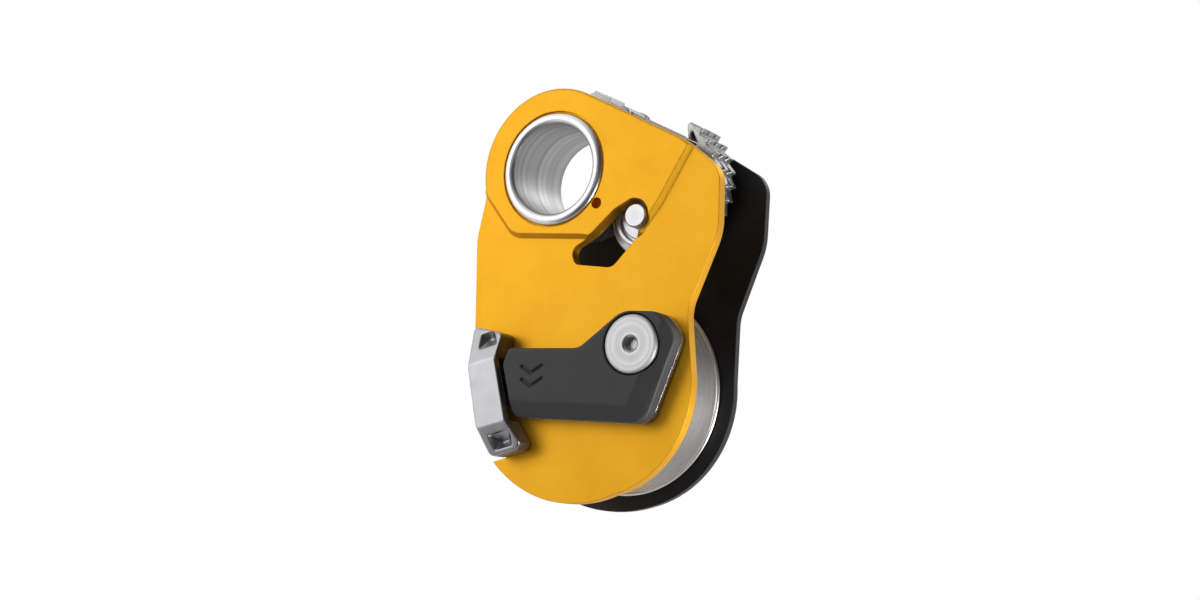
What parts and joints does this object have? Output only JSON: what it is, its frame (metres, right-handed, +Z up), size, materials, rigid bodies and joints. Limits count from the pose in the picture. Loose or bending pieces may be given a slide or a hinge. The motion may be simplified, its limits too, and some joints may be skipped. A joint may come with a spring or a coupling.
{
  "type": "rope pulley",
  "caption": "Compact rope pulley with two side plates, a deep-grooved sheave, a toothed rope cam held raised, an eye for a carabiner and a lever-latched swinging plate.",
  "frame": {"origin": "on the axis of the anchor eye, half way along its bore", "axes": "+Y along the eye bore from the front (swinging) plate to the rear plate, +Z up from the sheave to the eye, +X to the right seen from the front, on the cam side"},
  "size_m": [0.0681, 0.0248, 0.0888],
  "materials": {
    "amber_anodised": "satin anodised",
    "black_anodised": "satin anodised",
    "polished_aluminium": "polished",
    "satin_aluminium": "satin",
    "cast_steel": "cast, satin",
    "bright_steel": "ground",
    "spring_steel": "drawn wire",
    "bronze": "plain",
    "grey_polymer": "matte moulded",
    "white_polymer": "matte"
  },
  "bodies": {
    "frame": {"rear_side_plate": "black_anodised", "eye_bushing": "polished_aluminium", "eye_rear_collar": "polished_aluminium", "eye_spacer": "satin_aluminium", "pivot_washer": "white_polymer", "sheave_axle": "bright_steel", "axle_clip": "spring_steel", "axle_front_spacer": "bright_steel", "axle_rear_spacer": "bright_steel", "bearing_inner_race": "bright_steel", "cam_axle": "bright_steel", "cam_collar": "bright_steel", "cam_rear_spacer": "bright_steel", "cam_spring": "spring_steel", "cam_stop_pin": "bright_steel", "hold_lever_pin": "bright_steel", "hold_lever_spring": "spring_steel", "catch": "satin_aluminium", "catch_screws": "bright_steel"},
    "front_plate": {"front_side_plate": "amber_anodised", "lever_rivet": "satin_aluminium", "lever_bush": "bronze", "lever_spring": "spring_steel"},
    "press_lever": {"lever_grip": "grey_polymer", "latch_plate": "bright_steel"},
    "cam_body": {"cam": "cast_steel", "cam_bush": "bronze"},
    "cam_hold": {"hold_lever": "satin_aluminium"},
    "sheave_body": {"sheave": "polished_aluminium", "bearing_outer_race": "bright_steel", "bearing_shields": "bright_steel", "bearing_snap_ring": "spring_steel"},
    "ball_cage": {"bearing_balls": "bright_steel", "bearing_cage": "white_polymer"}
  },
  "joints": [
    {"name": "plate_swing", "type": "hinge", "parent": "frame", "child": "front_plate", "pos_m": [0, -0.007, 0], "axis": [0, -1, 0], "range_deg": [0, 26]},
    {"name": "lever_press", "type": "hinge", "parent": "front_plate", "child": "press_lever", "pos_m": [0.0132, -0.011, -0.0426], "axis": [0, -1, 0], "range_deg": [0, 4], "stiffness_Nm_per_rad": 0.15, "springref_deg": -17.19},
    {"name": "cam_swing", "type": "hinge", "parent": "frame", "child": "cam_body", "pos_m": [0.0164, 0.0006, -0.0153], "axis": [0, 1, 0], "range_deg": [0, 135]},
    {"name": "cam_hold_press", "type": "hinge", "parent": "frame", "child": "cam_hold", "pos_m": [0.01436, 0.0015, 0.00855], "axis": [0, -1, 0], "range_deg": [0, 5], "stiffness_Nm_per_rad": 0.05, "springref_deg": -17.19},
    {"name": "sheave_spin", "type": "hinge", "parent": "frame", "child": "sheave_body", "pos_m": [0, 0.0006, -0.0473], "axis": [0, 1, 0], "continuous": true},
    {"name": "cage_spin", "type": "hinge", "parent": "frame", "child": "ball_cage", "pos_m": [0, 0.0006, -0.0473], "axis": [0, 1, 0], "continuous": true}
  ],
  "couplings": [
    {"joint": "cage_spin", "follows": "sheave_spin", "ratio": 0.596}
  ]
}
